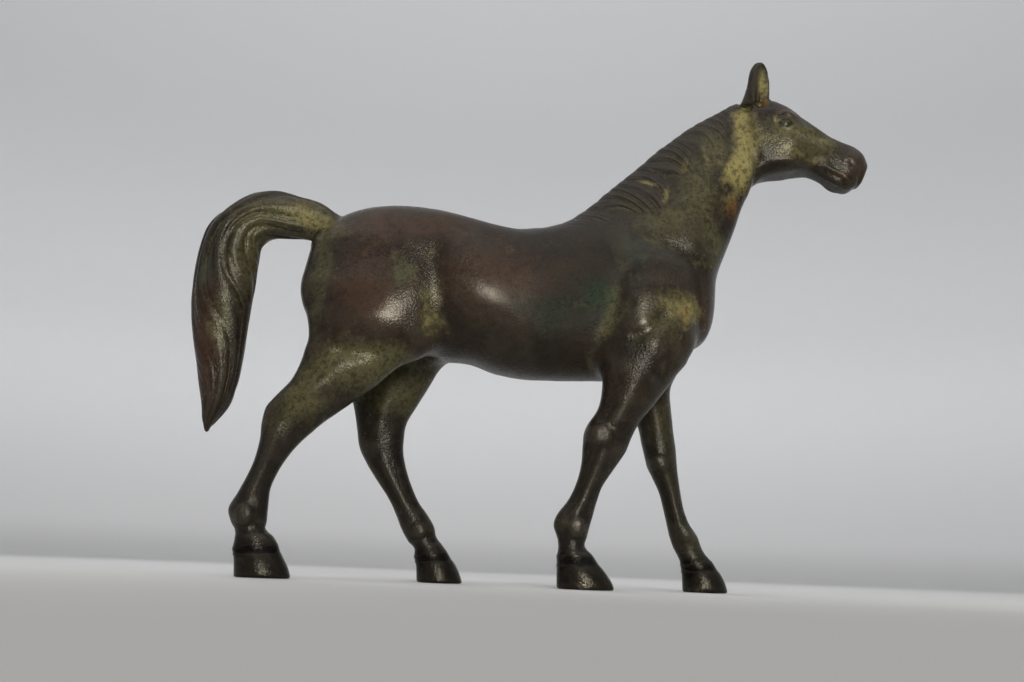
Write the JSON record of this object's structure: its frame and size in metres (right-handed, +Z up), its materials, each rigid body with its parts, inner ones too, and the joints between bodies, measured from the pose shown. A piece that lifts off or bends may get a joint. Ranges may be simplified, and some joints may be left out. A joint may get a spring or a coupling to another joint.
{
  "type": "cast bronze horse figure",
  "caption": "Small cast bronze walking horse with a ridged mane and a full arched tail, standing on flat-soled hooves.",
  "frame": {"origin": "on the ground, under the middle of the horse's bounding box", "axes": "+X is the way the horse walks and looks, +Y its left side, +Z up; the soles lie in z = 0"},
  "size_m": [0.2066, 0.0431, 0.1636],
  "materials": {
    "bronze_patina": "aged bronze with a brown patina, olive and green in its hollows"
  },
  "bodies": {
    "root": {"horse": "bronze_patina"}
  },
  "joints": []
}
